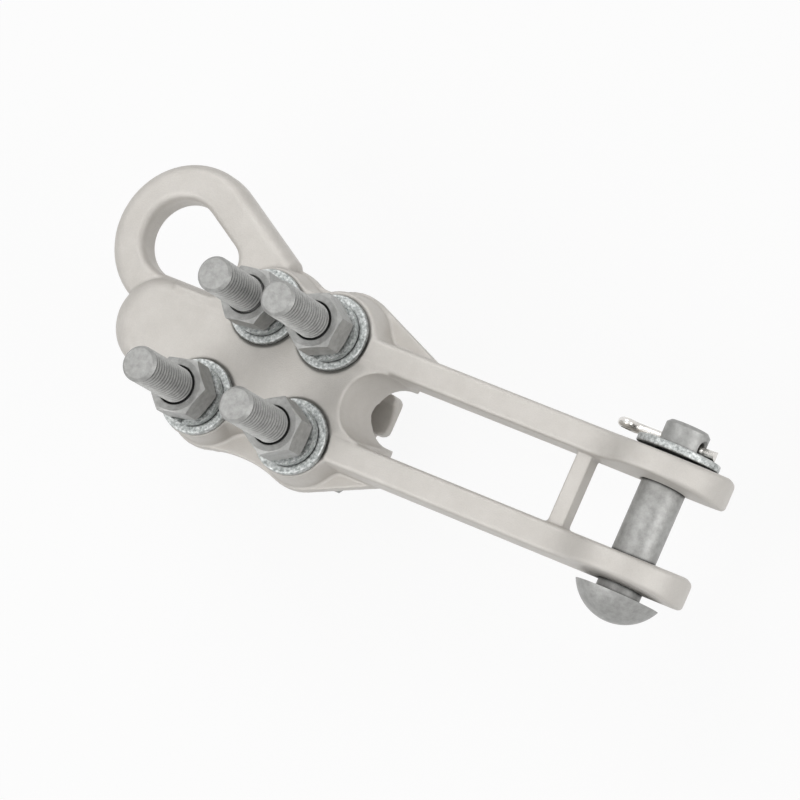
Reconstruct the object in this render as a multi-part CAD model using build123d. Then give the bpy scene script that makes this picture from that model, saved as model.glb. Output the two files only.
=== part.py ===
from build123d import *
import os
from math import acos, cos, radians, sin, sqrt, tan

# Bolted strain clamp. Millimetres. X runs along the pull, +X towards the clevis, Y along the
# clevis pin, Z up through the studs. The origin is the centre of the clevis pin.

# Driving dimensions, the body casting
CLEVIS_GAP = 25.0
ARM_WIDTH = 11.2
ARM_HEIGHT = 22.0
EYE_R = 21.9
EYE_BLEND_R = 22.0
DRAFT_DEG = 4.0
EDGE_ROUND = 1.6
WINDOW_END_X = -118.0
WINDOW_DRAFT_DEG = 4.0
WINDOW_LEAN_DEG = 3.5
PARTING_Z = -14.0
FLANGE_TOP = -1.0
FLANGE_THICK = 4.0
FLANGE_TIP_X = (-95.5, -98.8)
FLANGE_BLEND_R = (12.0, 50.0)
SKIRT_R = 13.0
EAR_R = (17.4, 18.0, 15.4, 16.2)
EAR_BLEND_R = 9.0
EAR_STEP = 0.9
DECK_TOP = 10.4
DECK_ROUND = 1.5
DECK_DRAFT_DEG = 8.0
ARM_ROOT_X = -104.0
NOSE_X = -214.8
BACK_R = 17.0
BACK_TOP = 10.9
BACK_ROUND = 7.5
BACK_END_X = -103.5
BOSS_TOP = 10.0
BOSS_R = 14.0
BOLT_XY = ((-158.6, 19.0), (-131.2, 19.0), (-169.2, -19.0), (-129.4, -19.4))
BAR_X = (-30.4, -24.6)
BAR_Z = (1.5, 8.5)

# Pulling eye
PULL_EYE_XY = (-202.9, 31.0)
PULL_EYE_OUTER_R = 27.9
PULL_HOLE_XY = (-204.4, 31.2)
PULL_HOLE_R = 14.0
PULL_EYE_THICK = 12.6
PULL_STRAP_DEG = 29.8
PULL_HOLE_RIGHT_X = -179.5
PULL_HOLE_CORNER_R = 8.0
PULL_FOOT_STEP = 3.6
PULL_STRAP_PAST = -1.0
RING_ROUND = 4.5
RING_HOLE_ROUND = 3.0

# Conductor groove, a straight line that falls towards the tail end
GROOVE_R = 8.0
GROOVE_TAIL = (-112.0, -21.0)
GROOVE_FALL_DEG = 5.0

# Keeper
KEEPER_GAP = 2.0
KEEPER_THICK = 6.5
KEEPER_EAR_R = 11.4
KEEPER_ROUND = 2.0
KEEPER_BLEND_R = 30.0
KEEPER_TONGUE_X = -115.6
KEEPER_NOSE_X = -204.0
KEEL_R = 14.0
KEEL_END_X = -121.0
SADDLE_DROP = 4.6
SADDLE_Y = (-5.0, 10.0)
TONGUE_DEEP = 11.5
TONGUE_ROUND = 3.0
HEAD_CLEAR = 0.3
HEAD_ROOM = 12.0

# Half inch bolts, nuts and washers
BOLT_R = 6.35
BOLT_HOLE_R = 7.15
BOLT_LENGTH = (79.2, 82.55, 82.55, 82.55)
BOLT_CHAMFER = 1.2
THREAD_PITCH = 25.4 / 13
THREAD_DEEP = 1.0
THREAD_LONG = 44.0
THREAD_CREST = 0.3
THREAD_ROOT = 0.45
HEAD_ACROSS = 19.05
HEAD_HIGH = 7.9
NUT_ACROSS = 19.05
NUT_HIGH = 11.1
NUT_BORE_R = 6.42
NUT_SINK = 0.7
CROWN_DEG = 28.0
CROWN_FLAT = 0.3
FLAT_R = 13.4
FLAT_BORE_R = 6.95
FLAT_THICK = 3.0
WASHER_ROUND = 0.6
SPRING_R = 10.75
SPRING_BORE_R = 6.55
SPRING_THICK = 3.2
SPRING_RISE = 2.0
SPRING_GAP_DEG = 8.0
NUT_TURN_DEG = (8.0, 24.0, 12.0, 30.0)
SPRING_TURN_DEG = (250.0, 280.0, 280.0, 270.0)

# Five eighths clevis pin, its washer and cotter
PIN_R = 7.94
PIN_HOLE_R = 8.02
PIN_HEAD_R = 15.0
PIN_HEAD_HIGH = 9.5
PIN_HEAD_CLEAR = 2.8
PIN_END_PAST = 8.3
PIN_CHAMFER = 1.2
PIN_WASHER_R = 15.0
PIN_WASHER_BORE_R = 8.2
PIN_WASHER_CLEAR = 0.2
PIN_WASHER_THICK = 2.8
COTTER_R = 1.7
COTTER_CLEAR = 0.05
COTTER_SPLIT = 0.05
COTTER_HOLE_R = 2.4
COTTER_SINK = 0.9
COTTER_EYE_R = 3.6
COTTER_LEG = 14.3
COTTER_LEG_STEP = 1.5
COTTER_SPREAD = 1.2
COTTER_NECK = 7.7
COTTER_TURN_DEG = 5.0

# Everything below follows from the dimensions above
ARM_IN = CLEVIS_GAP / 2
ARM_MID = ARM_IN + ARM_WIDTH / 2
ARM_OUT = ARM_IN + ARM_WIDTH
ARM_TOP = ARM_HEIGHT / 2
ARM_BACK_X = BOLT_XY[1][0]
KEEPER_TOP = PARTING_Z - KEEPER_GAP
KEEPER_SEAT = KEEPER_TOP - KEEPER_THICK
FLAT_TOP = BOSS_TOP + FLAT_THICK
NUT_SEAT = FLAT_TOP + SPRING_THICK + SPRING_RISE
PIN_HEAD_Y = -ARM_OUT - PIN_HEAD_CLEAR
PIN_WASHER_FROM = ARM_OUT + PIN_WASHER_CLEAR
PIN_WASHER_TO = PIN_WASHER_FROM + PIN_WASHER_THICK
PIN_END_Y = PIN_WASHER_TO + PIN_END_PAST
COTTER_Y = PIN_WASHER_TO + COTTER_R + COTTER_CLEAR
COTTER_HOLE_Y = PIN_WASHER_TO + COTTER_HOLE_R
NOSE_CENTRE_X = NOSE_X + BACK_R
WINDOW_CENTRE_X = WINDOW_END_X + ARM_IN
BELOW = -70.0
ABOVE = 70.0
FAR = 300.0
# How far a shape that is joined or cut away runs past the face it meets
OVER = 1.0
TOUCH = 0.01


def groove_z(x):
    return GROOVE_TAIL[1] + (GROOVE_TAIL[0] - x) * tan(radians(GROOVE_FALL_DEG))


def upright(x, y, z0, z1, r):
    return Pos(x, y, (z0 + z1) / 2) * Cylinder(r, z1 - z0)


def block(x0, x1, y0, y1, z0, z1):
    return Pos((x0 + x1) / 2, (y0 + y1) / 2, (z0 + z1) / 2) * Box(x1 - x0, y1 - y0, z1 - z0)


def plate(x0, x1, y0, y1):
    return Pos((x0 + x1) / 2, (y0 + y1) / 2) * Rectangle(x1 - x0, y1 - y0)


def groove_plane():
    # Looks along the groove, its local Z pointing to the tail
    fall = radians(GROOVE_FALL_DEG)
    return Plane(
        origin=(GROOVE_TAIL[0], 0, GROOVE_TAIL[1]),
        x_dir=(0, 1, 0),
        z_dir=(cos(fall), 0, -sin(fall)),
    )


def outline(radii, closing, others, ears=range(4)):
    # Discs about the bolts, joined and blended in one closed outline
    discs = [Pos(*BOLT_XY[ear]) * Circle(radii[ear]) for ear in ears]
    face = Sketch() + discs + others
    face = offset(face, amount=closing, kind=Kind.ARC)
    return offset(face, amount=-closing, kind=Kind.ARC)


def flange_wedge(ear, side, tip_x):
    # The flange runs straight from the ear's rim to its tip on the outer face of the arm
    centre = Vector(*BOLT_XY[ear])
    tip = Vector(tip_x, side * ARM_OUT)
    away = tip - centre
    foot = away.normalized() * EAR_R[ear]
    swing = acos(EAR_R[ear] / away.length)
    turn = side * swing
    rim = centre + Vector(
        foot.X * cos(turn) - foot.Y * sin(turn), foot.X * sin(turn) + foot.Y * cos(turn)
    )
    return make_face(Polyline(centre, rim, tip, close=True))


# Arms with their clevis eyes: a side profile cut down by bars drafted from mid height
reach = EYE_R + EYE_BLEND_R
blend_x = -sqrt(reach**2 - (ARM_TOP + EYE_BLEND_R) ** 2)
blend_end = Vector(blend_x, ARM_TOP + EYE_BLEND_R) * (EYE_R / reach)
low_end = (blend_end.X, -blend_end.Y)
with BuildPart() as arm_side:
    with BuildSketch(Plane.XZ):
        with BuildLine():
            Line((ARM_BACK_X, -ARM_TOP), (ARM_BACK_X, ARM_TOP))
            Line((ARM_BACK_X, ARM_TOP), (blend_x, ARM_TOP))
            TangentArc((blend_x, ARM_TOP), blend_end, tangent=(1, 0))
            ThreePointArc(blend_end, (EYE_R, 0), low_end)
            Line((blend_x, -ARM_TOP), (ARM_BACK_X, -ARM_TOP))
            TangentArc((blend_x, -ARM_TOP), low_end, tangent=(1, 0))
        make_face()
    extrude(amount=ARM_OUT + OVER, both=True)
arms = Part()
for s in (-1, 1):
    plan = plate(ARM_BACK_X, EYE_R + OVER, *sorted((s * ARM_IN, s * ARM_OUT)))
    bar = extrude(plan, amount=EYE_R + OVER, taper=DRAFT_DEG)
    bar += mirror(bar, Plane.XY)
    arm = arm_side.part & bar
    # The long edges above and below, not those of the cut back end
    rims = arm.edges().filter_by(
        lambda e: abs(e.center().Z) > ARM_TOP / 2
        and e.length > ARM_OUT - ARM_IN + OVER
        and e.center().X > ARM_BACK_X + OVER
    )
    arms += fillet(rims, EDGE_ROUND)

# Deck and its bosses, the lower flange, and the raised back with its round nose
core = plate(NOSE_CENTRE_X, WINDOW_CENTRE_X, -BACK_R, BACK_R)
roots = [
    plate(ARM_BACK_X, ARM_ROOT_X, *sorted((s * ARM_IN, s * (ARM_OUT - OVER)))) for s in (-1, 1)
]
deck_face = outline([r - EAR_STEP for r in EAR_R], EAR_BLEND_R, [core] + roots)
deck_from = FLANGE_TOP - OVER
deck = extrude(Pos(0, 0, deck_from) * deck_face, amount=DECK_TOP - deck_from, taper=DECK_DRAFT_DEG)
deck = fillet(deck.edges().group_by(Axis.Z)[-1], DECK_ROUND)
flange_face = Sketch()
for ears, side, tip_x, blend in zip(((0, 1), (2, 3)), (1, -1), FLANGE_TIP_X, FLANGE_BLEND_R):
    flange_face += outline(EAR_R, blend, [core, flange_wedge(ears[1], side, tip_x)], ears)
flange = extrude(Pos(0, 0, FLANGE_TOP) * flange_face, amount=-FLANGE_THICK)
skirt_face = outline([SKIRT_R] * 4, EAR_BLEND_R, [core])
skirt = extrude(Pos(0, 0, PARTING_Z) * skirt_face, amount=FLANGE_TOP - PARTING_Z)
back_face = Sketch() + Pos(NOSE_CENTRE_X, 0) * Circle(BACK_R)
back_face += plate(NOSE_CENTRE_X, BACK_END_X, -BACK_R, BACK_R)
back = extrude(Pos(0, 0, PARTING_Z) * back_face, amount=BACK_TOP - PARTING_Z)
back = fillet(back.edges().group_by(Axis.Z)[-1], BACK_ROUND)
bosses = Part() + [upright(x, y, PARTING_Z, BOSS_TOP, BOSS_R) for x, y in BOLT_XY]

# Pulling eye, a strap that runs from the ring back to the first ear
lean = radians(PULL_STRAP_DEG)
run = Vector(cos(lean), -sin(lean))
out = Vector(sin(lean), cos(lean))
eye = Vector(*PULL_EYE_XY)
strap_far = BOLT_XY[0][0] + PULL_STRAP_PAST
strap_top = eye + out * PULL_EYE_OUTER_R
strap_end = strap_top + run * ((strap_far - strap_top.X) / run.X)
ring_foot = eye - Vector(0, PULL_EYE_OUTER_R)
foot_x = ring_foot.X + PULL_FOOT_STEP
hole = Vector(*PULL_HOLE_XY)
hole_top = hole + out * PULL_HOLE_R
hole_turn = hole_top + run * ((PULL_HOLE_RIGHT_X - hole_top.X) / run.X)
hole_low = hole - Vector(0, PULL_HOLE_R)
foot_y = hole_low.Y - RING_ROUND
with BuildPart() as eye_part:
    with BuildSketch():
        with BuildLine():
            Polyline(
                strap_top, strap_end, (strap_far, 0), (foot_x, 0), (foot_x, foot_y), ring_foot
            )
            ThreePointArc(ring_foot, eye - Vector(PULL_EYE_OUTER_R, 0), strap_top)
        make_face()
        with BuildLine():
            FilletPolyline(
                hole_top, hole_turn, (PULL_HOLE_RIGHT_X, hole_low.Y), hole_low, radius=PULL_HOLE_CORNER_R
            )
            ThreePointArc(hole_low, hole - Vector(PULL_HOLE_R, 0), hole_top)
        make_face(mode=Mode.SUBTRACT)
    extrude(amount=PULL_EYE_THICK / 2, both=True)
ring = eye_part.part
corners = [Vertex(strap_top.X, strap_top.Y, s * PULL_EYE_THICK / 2) for s in (-1, 1)]
rims = ring.edges().filter_by(
    lambda e: e.length > 2 * PULL_HOLE_CORNER_R and min(e.distance_to(c) for c in corners) < TOUCH
)
ring = fillet(rims, RING_ROUND)
caps = ring.faces().filter_by(GeomType.PLANE).group_by(Axis.Z)
rims = [cap.inner_wires()[0].edges() for cap in (caps[0][0], caps[-1][0])]
ring = fillet(rims[0] + rims[1], RING_HOLE_ROUND)

# Seats for the washers are faced flat, then the window, holes and groove are cut
body = arms + deck + flange + skirt + bosses + back + ring
faced = Part() + [upright(x, y, BOSS_TOP, ABOVE, BOSS_R) for x, y in BOLT_XY]
window_face = Sketch() + Pos(WINDOW_CENTRE_X, 0) * Circle(ARM_IN) + plate(WINDOW_CENTRE_X, 0, -ARM_IN, ARM_IN)
window_deep = BACK_TOP - PARTING_Z + OVER
window_floor = offset(window_face, amount=-window_deep * tan(radians(WINDOW_DRAFT_DEG)))
window_foot = Pos(0, window_deep * tan(radians(WINDOW_LEAN_DEG)), BACK_TOP - window_deep)
window = loft([Pos(0, 0, BACK_TOP) * window_face, window_foot * window_floor])
window += extrude(Pos(0, 0, BACK_TOP) * window_face, amount=ABOVE)
bolt_holes = Part() + [upright(x, y, BELOW, ABOVE, BOLT_HOLE_R) for x, y in BOLT_XY]
pin_hole = Rot(90, 0, 0) * Cylinder(PIN_HOLE_R, 4 * ARM_OUT)
groove = groove_plane() * Cylinder(GROOVE_R, 2 * FAR)
slot_side = Plane.XZ * make_face(
    Polyline(
        (-FAR, groove_z(-FAR)),
        (WINDOW_CENTRE_X, groove_z(WINDOW_CENTRE_X)),
        (WINDOW_CENTRE_X, BELOW),
        (-FAR, BELOW),
        close=True,
    )
)
groove += extrude(slot_side, amount=GROOVE_R, both=True)
body = body - faced - window - bolt_holes - pin_hole - groove
body += block(*BAR_X, -ARM_IN - OVER, ARM_IN + OVER, *BAR_Z)

# Keeper: a plate under the ears, with a keel and a saddle that carry the groove
keeper_core = plate(NOSE_CENTRE_X, ARM_BACK_X, -KEEL_R, KEEL_R)
keeper_face = outline([KEEPER_EAR_R] * 4, KEEPER_BLEND_R, [keeper_core])
keeper = extrude(Pos(0, 0, KEEPER_SEAT) * keeper_face, amount=KEEPER_THICK)
keeper = fillet(keeper.edges().group_by(Axis.Z)[0], KEEPER_ROUND)
keeper -= block(-FAR, KEEPER_NOSE_X, -FAR, FAR, BELOW, ABOVE)
keel = groove_plane() * Cylinder(KEEL_R, 2 * FAR)
keel &= block(KEEPER_NOSE_X, KEEL_END_X, -KEEL_R, KEEL_R, BELOW, KEEPER_TOP - OVER)
saddle_side = Plane.XZ * make_face(
    Polyline(
        (KEEPER_NOSE_X, groove_z(KEEPER_NOSE_X) - SADDLE_DROP),
        (KEEPER_TONGUE_X, groove_z(KEEPER_TONGUE_X) - SADDLE_DROP),
        (KEEPER_TONGUE_X, groove_z(KEEPER_TONGUE_X) - TONGUE_DEEP),
        (KEEPER_NOSE_X, groove_z(KEEPER_NOSE_X) - TONGUE_DEEP),
        close=True,
    )
)
saddle = extrude(saddle_side, amount=-KEEL_R, both=True)
saddle &= block(-FAR, 0, *SADDLE_Y, BELOW, ABOVE)
saddle = fillet(saddle.edges().filter_by(Axis.Z).group_by(Axis.X)[-1], TONGUE_ROUND)
keeper = keeper + keel + saddle
for x, y in BOLT_XY:
    half = HEAD_ACROSS / 2 + HEAD_CLEAR
    keeper -= block(x - HEAD_ROOM, x + HEAD_ROOM, y - half, y + half, BELOW, KEEPER_SEAT)
keeper = keeper - bolt_holes - groove_plane() * Cylinder(GROOVE_R, 2 * FAR)


def ring_washer(r, bore_r, thick):
    # A punched washer with its outer rims rolled over
    disc = fillet(Cylinder(r, thick).edges().filter_by(GeomType.CIRCLE), WASHER_ROUND)
    return Pos(0, 0, thick / 2) * (disc - Cylinder(bore_r, 2 * thick))


def crowned(across, high, turn, both):
    # A hexagon with its corners turned off by a cone at the top, or at both ends
    corner = across / sqrt(3)
    prism = extrude(Rot(0, 0, turn) * RegularPolygon(corner, 6), amount=high)
    beyond = corner + CROWN_FLAT
    flat = across / 2 - CROWN_FLAT
    drop = (beyond - flat) * tan(radians(CROWN_DEG))
    low = [(flat, 0), (beyond, drop)] if both else [(beyond, 0)]
    profile = [(0, 0)] + low + [(beyond, high - drop), (flat, high), (0, high)]
    return prism & revolve(Plane.XZ * make_face(Polyline(*profile, close=True)), Axis.Z)


def threaded_end():
    # The top THREAD_LONG of a bolt, its tip at the origin, with the thread as even ridges
    root_r = BOLT_R - THREAD_DEEP
    top = -BOLT_CHAMFER
    turns = int((THREAD_LONG - BOLT_CHAMFER) / THREAD_PITCH)
    flank = (THREAD_PITCH - THREAD_CREST - THREAD_ROOT) / 2
    profile = [(0, -THREAD_LONG - OVER), (BOLT_R, -THREAD_LONG - OVER)]
    for n in range(turns, 0, -1):
        z = top - n * THREAD_PITCH
        profile += [(BOLT_R, z + THREAD_CREST), (root_r, z + THREAD_CREST + flank)]
        profile += [(root_r, z + THREAD_PITCH - flank), (BOLT_R, z + THREAD_PITCH)]
    profile += [(BOLT_R, top + THREAD_CREST / 2), (root_r, 0), (0, 0)]
    return revolve(Plane.XZ * make_face(Polyline(*profile, close=True)), Axis.Z)


bolts = []
nuts = []
flats = []
thread = threaded_end()
for (x, y), length, turn in zip(BOLT_XY, BOLT_LENGTH, NUT_TURN_DEG):
    head = mirror(crowned(HEAD_ACROSS, HEAD_HIGH, 0, False), Plane.XY)
    plain = length - THREAD_LONG
    shank = upright(0, 0, -OVER, plain + OVER, BOLT_R)
    bolts.append(Pos(x, y, KEEPER_SEAT) * (head + shank + Pos(0, 0, length) * thread))
    nut = crowned(NUT_ACROSS, NUT_HIGH, turn, True)
    nut -= Pos(0, 0, NUT_HIGH / 2) * Cylinder(NUT_BORE_R, 2 * NUT_HIGH)
    nut -= Pos(0, 0, NUT_HIGH - NUT_SINK / 2) * Cone(NUT_BORE_R, NUT_BORE_R + NUT_SINK, NUT_SINK)
    nut -= Pos(0, 0, NUT_SINK / 2) * Cone(NUT_BORE_R + NUT_SINK, NUT_BORE_R, NUT_SINK)
    nuts.append(Pos(x, y, NUT_SEAT) * nut)
    flats.append(Pos(x, y, BOSS_TOP) * ring_washer(FLAT_R, FLAT_BORE_R, FLAT_THICK))

# A split spring washer that rises as it goes round, so its two ends stand apart
spring_mid = (SPRING_R + SPRING_BORE_R) / 2
sweep_deg = 360 - SPRING_GAP_DEG
coil = Helix(pitch=SPRING_RISE * 360 / sweep_deg, height=SPRING_RISE, radius=spring_mid)
section = Plane(origin=coil @ 0, x_dir=(1, 0, 0), z_dir=coil % 0) * Rectangle(
    SPRING_R - SPRING_BORE_R, SPRING_THICK
)
spring = sweep(section, path=coil, is_frenet=True)
springs = []
for (x, y), turn in zip(BOLT_XY, SPRING_TURN_DEG):
    springs.append(Pos(x, y, FLAT_TOP + SPRING_THICK / 2) * Rot(0, 0, turn) * spring)

# Clevis pin with a domed head, its washer, and the cotter through its end
dome_r = (PIN_HEAD_R**2 + PIN_HEAD_HIGH**2) / (2 * PIN_HEAD_HIGH)
dome_y = PIN_HEAD_Y - PIN_HEAD_HIGH + dome_r
dome = Pos(0, dome_y, 0) * Sphere(dome_r)
dome &= block(-FAR, FAR, -FAR, PIN_HEAD_Y, -FAR, FAR)
pin = Pos(0, (PIN_HEAD_Y + PIN_END_Y) / 2, 0) * Rot(90, 0, 0) * Cylinder(
    PIN_R, PIN_END_Y - PIN_HEAD_Y
)
pin = chamfer(pin.edges().group_by(Axis.Y)[-1], PIN_CHAMFER) + dome
cross = Pos(0, COTTER_HOLE_Y, 0) * Rot(0, 90, 0) * Cylinder(COTTER_HOLE_R, 4 * PIN_R)
for s in (-1, 1):
    sink = Cone(COTTER_HOLE_R, COTTER_HOLE_R + 2 * COTTER_SINK, 2 * COTTER_SINK)
    cross += Pos(s * PIN_R, COTTER_HOLE_Y, 0) * Rot(0, s * 90, 0) * sink
pin -= Rot(0, -COTTER_TURN_DEG, 0) * cross
washer = ring_washer(PIN_WASHER_R, PIN_WASHER_BORE_R, PIN_WASHER_THICK)
washer = Pos(0, PIN_WASHER_FROM, 0) * Rot(-90, 0, 0) * washer

# The cotter is one half round wire, bent back on itself round an eye
legs_from = -(PIN_R + COTTER_NECK)
eye_x = legs_from - COTTER_EYE_R - COTTER_R / 2
bend_x = PIN_R + OVER
apart = COTTER_SPLIT
with BuildPart() as cotter_part:
    with BuildLine() as wire:
        tip = Line((COTTER_LEG, 0, apart + COTTER_SPREAD), (bend_x, 0, apart))
        leg = Line((bend_x, 0, apart), (legs_from, 0, apart))
        loop = Spline(
            leg @ 1,
            (eye_x, 0, apart + COTTER_EYE_R),
            (eye_x - COTTER_EYE_R, 0, 0),
            (eye_x, 0, -apart - COTTER_EYE_R),
            (legs_from, 0, -apart),
            tangents=((-1, 0, 0), (1, 0, 0)),
        )
        Line(loop @ 1, (bend_x, 0, -apart))
        Line((bend_x, 0, -apart), (COTTER_LEG - COTTER_LEG_STEP, 0, -apart - COTTER_SPREAD))
    with BuildSketch(Plane(origin=tip @ 0, x_dir=(0, 1, 0), z_dir=tip % 0)):
        Circle(COTTER_R)
        with Locations((0, COTTER_R)):
            Rectangle(3 * COTTER_R, 2 * COTTER_R, mode=Mode.SUBTRACT)
    sweep(path=wire.line, transition=Transition.RIGHT)
cotter = Pos(0, COTTER_Y, 0) * Rot(0, -COTTER_TURN_DEG, 0) * cotter_part.part

nodes = {"clamp_body": body, "keeper": keeper}
for i in range(4):
    nodes[f"bolt_{i + 1}"] = bolts[i]
    nodes[f"nut_{i + 1}"] = nuts[i]
    nodes[f"flat_washer_{i + 1}"] = flats[i]
    nodes[f"spring_washer_{i + 1}"] = springs[i]
nodes["clevis_pin"] = pin
nodes["pin_washer"] = washer
nodes["cotter_pin"] = cotter
os.makedirs("parts", exist_ok=True)
for name, shape in nodes.items():
    export_step(shape, f"parts/{name}.step")
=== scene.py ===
from math import cos, radians, sin

import bpy
from mathutils import Matrix, Vector


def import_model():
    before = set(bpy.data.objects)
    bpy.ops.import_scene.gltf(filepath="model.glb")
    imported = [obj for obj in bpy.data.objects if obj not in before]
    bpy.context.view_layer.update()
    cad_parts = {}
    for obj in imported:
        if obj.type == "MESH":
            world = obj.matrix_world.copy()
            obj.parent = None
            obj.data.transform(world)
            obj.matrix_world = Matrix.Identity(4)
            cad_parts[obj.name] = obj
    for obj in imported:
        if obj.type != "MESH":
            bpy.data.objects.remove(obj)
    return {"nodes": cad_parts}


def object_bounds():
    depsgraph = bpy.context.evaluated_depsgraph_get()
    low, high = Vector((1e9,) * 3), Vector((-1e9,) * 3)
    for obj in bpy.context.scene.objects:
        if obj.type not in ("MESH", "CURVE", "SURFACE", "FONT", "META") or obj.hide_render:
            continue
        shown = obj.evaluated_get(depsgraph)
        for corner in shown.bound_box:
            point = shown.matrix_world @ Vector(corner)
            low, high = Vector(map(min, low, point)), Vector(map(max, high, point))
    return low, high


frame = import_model()
CAD_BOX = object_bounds()
nodes = frame["nodes"]
MM = 0.001

# The photograph's camera, in the frame's own axes
CAMERA_TARGET = Vector((-100.7, 2.8, 0.0)) * MM
CAMERA_AZIMUTH = radians(-9.0)
CAMERA_ELEVATION = radians(64.1)
CAMERA_ROLL = radians(-58.1)
CAMERA_DISTANCE = 1695.7 * MM
CAMERA_SENSOR = 36.0
CAMERA_LENS = 222.2
CAMERA_SHIFT = (0.00025, 0.016875)
CAMERA_CLIP = (0.05, 20.0)

# Lamps: name, place in metres and watts. All are discs of one size that face the part.
LAMPS = (
    ("right", (1.0, 0.1, 0.4), 5.4),
    ("back", (-0.55, 0.78, 0.9), 4.9),
    ("front", (-0.55, -0.78, 0.9), 6.1),
    ("top", (-0.1, 0.0, 1.27), 2.5),
)
LAMP_SIZE = 0.9

# The world's own light on the part, and the white that is seen behind it
WHITE = (1, 1, 1, 1)
WORLD_LIGHT = 0.18
WORLD_TINT = (1.0, 0.99, 0.97, 1)

# The floor, how much of its shadow is seen, and the room for the keeper when it is let down
FLOOR_SIZE = 6.0
FLOOR_MIDDLE = (-0.1, 0)
FLOOR_TONE = (0.86, 0.86, 0.86, 1)
FLOOR_SHOW = 0.10
FLOOR_ROOM = 21 * MM

# Voxels and smoothing that carry the castings' soft edges
BODY_VOXEL = 0.55 * MM
KEEPER_VOXEL = 0.7 * MM
SMOOTH_FACTOR = 0.5
SMOOTH_ROUNDS = 2

# Small rounds on the crisp pieces
NUT_EDGE_MM = 0.25
SPRING_WASHER_EDGE_MM = 0.2
EDGE_SEGMENTS = 2
EDGE_ANGLE = radians(25)

# Shared by every material: noise, height, and how open a crease is when painted shade darkens it
NOISE_DETAIL = 4.0
GRAIN_ROUGHNESS = 0.7
CLOUD_ROUGHNESS = 0.65
BLEND = (0.35, 0.65)
# Painted shade in creases: the ends of its ramp and the samples of its occlusion
CREASE_SHADE_BLEND = (0.55, 0.97)
CREASE_SHADE_SAMPLES = 8
BUMP_STRENGTH = 0.4


def camera():
    az, el, roll = CAMERA_AZIMUTH, CAMERA_ELEVATION, CAMERA_ROLL
    away = Vector((cos(el) * cos(az), cos(el) * sin(az), sin(el)))
    level = Vector((-sin(az), cos(az), 0))
    upright = away.cross(level)
    right = level * cos(roll) + upright * sin(roll)
    up = away.cross(right)
    data = bpy.data.cameras.new("camera")
    data.sensor_width = CAMERA_SENSOR
    data.lens = CAMERA_LENS
    data.shift_x, data.shift_y = CAMERA_SHIFT
    data.clip_start, data.clip_end = CAMERA_CLIP
    obj = bpy.data.objects.new("camera", data)
    turn = Matrix((right, up, away)).transposed().to_4x4()
    obj.matrix_world = Matrix.Translation(CAMERA_TARGET + away * CAMERA_DISTANCE) @ turn
    bpy.context.scene.collection.objects.link(obj)
    bpy.context.scene.camera = obj


def area_light(name, place, watts):
    data = bpy.data.lights.new(name, "AREA")
    data.shape = "DISK"
    data.size = LAMP_SIZE
    data.energy = watts
    obj = bpy.data.objects.new(name, data)
    obj.location = place
    obj.rotation_euler = (CAMERA_TARGET - Vector(place)).to_track_quat("-Z", "Y").to_euler()
    bpy.context.scene.collection.objects.link(obj)


class Graph:
    """A small helper that adds and links shader nodes."""

    def __init__(self, tree):
        self.tree = tree
        tree.nodes.clear()

    def add(self, kind, inputs=None, **props):
        node = self.tree.nodes.new(kind)
        for key, value in props.items():
            setattr(node, key, value)
        for key, value in (inputs or {}).items():
            if isinstance(value, bpy.types.NodeSocket):
                self.tree.links.new(value, node.inputs[key])
            else:
                node.inputs[key].default_value = value
        return node

    def noise(self, place, size_mm, roughness):
        return self.add(
            "ShaderNodeTexNoise",
            {"Vector": place, "Scale": 1 / (size_mm * MM), "Detail": NOISE_DETAIL, "Roughness": roughness},
        ).outputs["Fac"]

    def ramp(self, value, low, high, blend=BLEND):
        node = self.add("ShaderNodeValToRGB", {"Fac": value})
        first, last = node.color_ramp.elements
        first.position, last.position = blend
        first.color, last.color = (*low, 1), (*high, 1)
        return node.outputs["Color"]

    def either(self, a, b):
        """The larger of two values."""
        return self.add("ShaderNodeMath", {0: a, 1: b}, operation="MAXIMUM").outputs[0]


def shown(g):
    """1 for rays that show the background: to the camera, in a reflection or through glass."""
    path = g.add("ShaderNodeLightPath").outputs
    return g.either(g.either(path["Is Camera Ray"], path["Is Glossy Ray"]), path["Is Transmission Ray"])


def world():
    w = bpy.data.worlds.new("world")
    bpy.context.scene.world = w
    w.use_nodes = True
    g = Graph(w.node_tree)
    lit = g.add("ShaderNodeBackground", {"Color": WORLD_TINT, "Strength": WORLD_LIGHT})
    seen = g.add("ShaderNodeBackground", {"Color": WHITE, "Strength": 1.0})
    mix = g.add("ShaderNodeMixShader", {0: shown(g), 1: lit.outputs[0], 2: seen.outputs[0]})
    g.add("ShaderNodeOutputWorld", {"Surface": mix.outputs[0]})


def floor():
    bpy.ops.mesh.primitive_plane_add(size=FLOOR_SIZE, location=(*FLOOR_MIDDLE, CAD_BOX[0][2] - FLOOR_ROOM))
    obj = bpy.context.object
    obj.name = "floor"
    m = bpy.data.materials.new("floor")
    m.use_nodes = True
    g = Graph(m.node_tree)
    plain = g.add("ShaderNodeBsdfDiffuse", {"Color": FLOOR_TONE})
    white = g.add("ShaderNodeEmission", {"Color": WHITE, "Strength": 1.0})
    part = g.add("ShaderNodeMath", {0: shown(g), 1: 1.0 - FLOOR_SHOW}, operation="MULTIPLY")
    mix = g.add("ShaderNodeMixShader", {0: part.outputs[0], 1: plain.outputs[0], 2: white.outputs[0]})
    g.add("ShaderNodeOutputMaterial", {"Surface": mix.outputs[0]})
    obj.data.materials.append(m)


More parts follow.
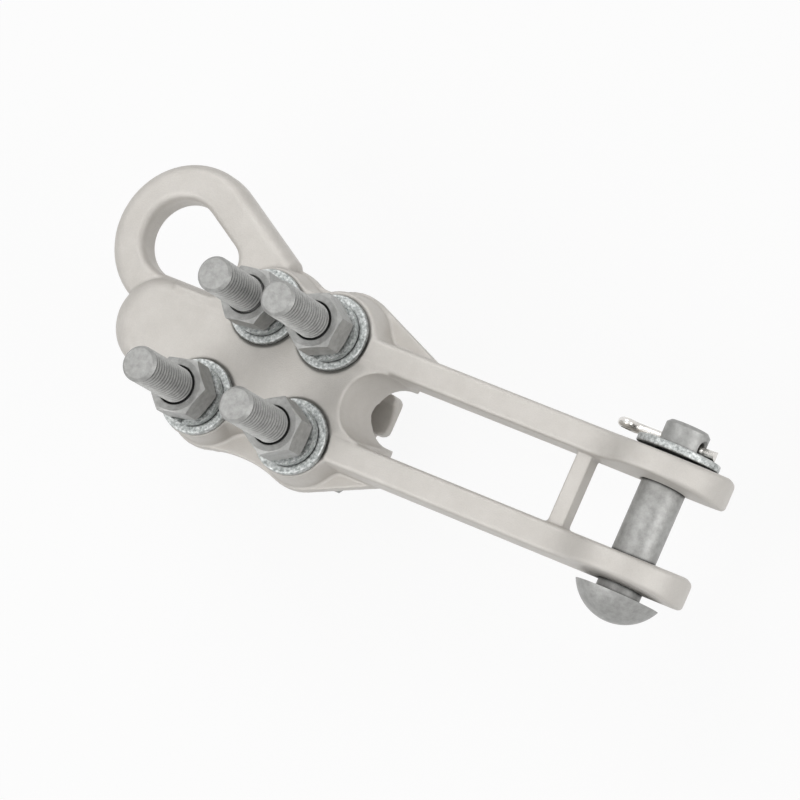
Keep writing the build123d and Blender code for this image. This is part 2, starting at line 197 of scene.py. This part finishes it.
def material(name, tones, cloud_mm, metallic, rough, grain_mm, depth_mm, fleck, crease_shade_mm, crease_shade_tone):
    """A clouded colour with dark flecks, painted shade darker down in creases, and its grain as a height.
    """
    m = bpy.data.materials.new(name)
    m.use_nodes = True
    g = Graph(m.node_tree)
    place = g.add("ShaderNodeTexCoord").outputs["Object"]
    grain = g.noise(place, grain_mm, GRAIN_ROUGHNESS)
    # Painted shade: ambient occlusion darkens the colour down in creases and corners
    crease_shade = g.add("ShaderNodeAmbientOcclusion", {"Distance": crease_shade_mm * MM}, samples=CREASE_SHADE_SAMPLES)
    tone = g.ramp(g.noise(place, cloud_mm, CLOUD_ROUGHNESS), *tones)
    # Multiplies in the grain's dark flecks, then the painted crease shade
    for fleck_and_crease_shade in (
        g.ramp(grain, (1 - fleck,) * 3, (1, 1, 1)),
        # the painted crease shade
        g.ramp(crease_shade.outputs["AO"], (crease_shade_tone,) * 3, (1, 1, 1), CREASE_SHADE_BLEND),
    ):
        inputs = {"Factor": 1.0, "A": tone, "B": fleck_and_crease_shade}
        mix = g.add("ShaderNodeMix", inputs, data_type="RGBA", blend_type="MULTIPLY")
        tone = mix.outputs["Result"]
    height = {"Height": grain, "Strength": BUMP_STRENGTH, "Distance": depth_mm * MM}
    bump = g.add("ShaderNodeBump", height)
    face = {"Base Color": tone, "Metallic": metallic, "Roughness": rough, "Normal": bump.outputs["Normal"]}
    shader = g.add("ShaderNodeBsdfPrincipled", face)
    g.add("ShaderNodeOutputMaterial", {"Surface": shader.outputs[0]})
    return m


def dress(node, look):
    data = nodes[node].data
    data.materials.clear()
    data.materials.append(look)


def soften(node, voxel):
    """Rounds every edge and inside corner of a casting, as sand moulding does."""
    again = nodes[node].modifiers.new("remesh", "REMESH")
    again.mode = "VOXEL"
    again.voxel_size = voxel
    again.use_smooth_shade = True
    smooth = nodes[node].modifiers.new("smooth", "SMOOTH")
    smooth.factor = SMOOTH_FACTOR
    smooth.iterations = SMOOTH_ROUNDS


def break_edges(node, width_mm):
    """A small round on the crisp edges of a forged or machined piece."""
    bevel = nodes[node].modifiers.new("edges", "BEVEL")
    bevel.width = width_mm * MM
    bevel.segments = EDGE_SEGMENTS
    bevel.limit_method = "ANGLE"
    bevel.angle_limit = EDGE_ANGLE
    bevel.harden_normals = True


camera()
world()
floor()
for name, place, watts in LAMPS:
    area_light(name, place, watts)

# Blasted aluminium
CAST = material(
    "cast",
    tones=((0.585, 0.56, 0.525), (0.63, 0.605, 0.57)),
    cloud_mm=11,
    metallic=0.3,
    rough=0.5,
    grain_mm=0.5,
    depth_mm=0.32,
    fleck=0.06,
    # painted shade in the casting's creases and inside corners: its reach and darkest tone
    crease_shade_mm=1.5,
    crease_shade_tone=0.6,
)
# Dull dipped zinc
GALVANISED = material(
    "galvanised",
    tones=((0.315, 0.315, 0.305), (0.42, 0.42, 0.41)),
    cloud_mm=2.4,
    metallic=0.5,
    rough=0.42,
    grain_mm=0.7,
    depth_mm=0.3,
    fleck=0.08,
    # painted shade, nearly black, in the thread roots and the nuts' corners: its reach and darkest tone
    crease_shade_mm=1.2,
    crease_shade_tone=0.03,
)
# Bright mottled zinc plate
ZINC = material(
    "zinc_plate",
    tones=((0.26, 0.28, 0.275), (0.74, 0.76, 0.75)),
    cloud_mm=1.1,
    metallic=0.65,
    rough=0.33,
    grain_mm=0.7,
    depth_mm=0.6,
    fleck=0.15,
    # painted shade in creases, which darkens the washers' sides near the deck into a ring: its reach and
    # darkest tone
    crease_shade_mm=1.0,
    crease_shade_tone=0.1,
)
# Drawn stainless wire
STAINLESS = material(
    "stainless",
    tones=((0.62, 0.60, 0.57), (0.85, 0.83, 0.80)),
    cloud_mm=4,
    metallic=0.9,
    rough=0.2,
    grain_mm=1.2,
    depth_mm=0.2,
    fleck=0.0,
    # painted shade in the cotter pin's creases: its reach and darkest tone
    crease_shade_mm=0.8,
    crease_shade_tone=0.3,
)

dress("clamp_body", CAST)
soften("clamp_body", BODY_VOXEL)
dress("keeper", CAST)
soften("keeper", KEEPER_VOXEL)
for i in range(1, 5):
    dress(f"bolt_{i}", GALVANISED)
    dress(f"nut_{i}", GALVANISED)
    break_edges(f"nut_{i}", NUT_EDGE_MM)
    dress(f"flat_washer_{i}", ZINC)
    dress(f"spring_washer_{i}", ZINC)
    break_edges(f"spring_washer_{i}", SPRING_WASHER_EDGE_MM)
dress("clevis_pin", GALVANISED)
dress("pin_washer", ZINC)
dress("cotter_pin", STAINLESS)

bpy.context.scene.view_settings.view_transform = "Standard"
